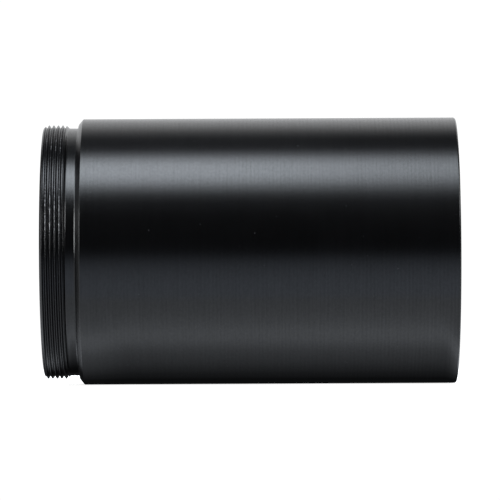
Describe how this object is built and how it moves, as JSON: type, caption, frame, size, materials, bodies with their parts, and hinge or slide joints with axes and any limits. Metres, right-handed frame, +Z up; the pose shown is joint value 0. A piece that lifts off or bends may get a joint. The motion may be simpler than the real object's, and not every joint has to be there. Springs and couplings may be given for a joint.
{
  "type": "barlow lens",
  "caption": "Threaded photographic barlow lens: black tube with male camera thread, baffled bore, and a negative lens cell screwed in behind a female telescope thread.",
  "frame": {"origin": "on the optical axis, in the plane of the shoulder that the camera-side thread seats against", "axes": "+X along the optical axis from the camera end to the telescope end, +Z up as the lens lies on its side, +Y away from the side that is seen"},
  "size_m": [0.068, 0.044, 0.044],
  "materials": {
    "black_anodised": "satin black anodised, fine turning marks",
    "matt_black": "matt black anti-reflection finish",
    "cell_black": "semi-matt black anodised",
    "coated_glass": "polished, green-violet anti-reflection coating",
    "o_ring_rubber": "moulded black rubber",
    "white_ptfe": "waxy white PTFE"
  },
  "bodies": {
    "casing": {"outer_barrel": "black_anodised", "sleeve_retaining_ring": "black_anodised", "front_baffle_sleeve": "matt_black", "mid_knife_edge_baffle": "matt_black", "rear_baffle_sleeve": "matt_black", "rear_knife_edge_baffle": "matt_black"},
    "nose_stop": {"nose_aperture_ring": "matt_black"},
    "nose": {"t2_nose_ring": "black_anodised"},
    "lens_stack": {"field_element": "coated_glass", "lens_spacer_ring": "matt_black", "flint_element": "coated_glass", "crown_element": "coated_glass", "cushion_ring": "white_ptfe"},
    "lens_cell": {"cell_housing": "cell_black", "cell_o_ring": "o_ring_rubber", "cell_retaining_ring": "cell_black"}
  },
  "joints": [
    {"name": "nose_travel", "type": "slide", "parent": "casing", "child": "nose_stop", "axis": [-1, 0, 0], "range_m": [0, 0.00525]},
    {"name": "nose_unscrew", "type": "hinge", "parent": "nose_stop", "child": "nose", "pos_m": [0, 0, 0], "axis": [-1, 0, 0], "range_deg": [0, 2520]},
    {"name": "cell_travel", "type": "slide", "parent": "casing", "child": "lens_stack", "axis": [1, 0, 0], "range_m": [0, 0.006]},
    {"name": "cell_unscrew", "type": "hinge", "parent": "lens_stack", "child": "lens_cell", "pos_m": [0.053, 0, 0], "axis": [1, 0, 0], "range_deg": [0, 2880]}
  ],
  "couplings": [
    {"joint": "nose_travel", "follows": "nose_unscrew", "m_per_rad": 0.00011937},
    {"joint": "cell_travel", "follows": "cell_unscrew", "m_per_rad": 0.00011937}
  ]
}
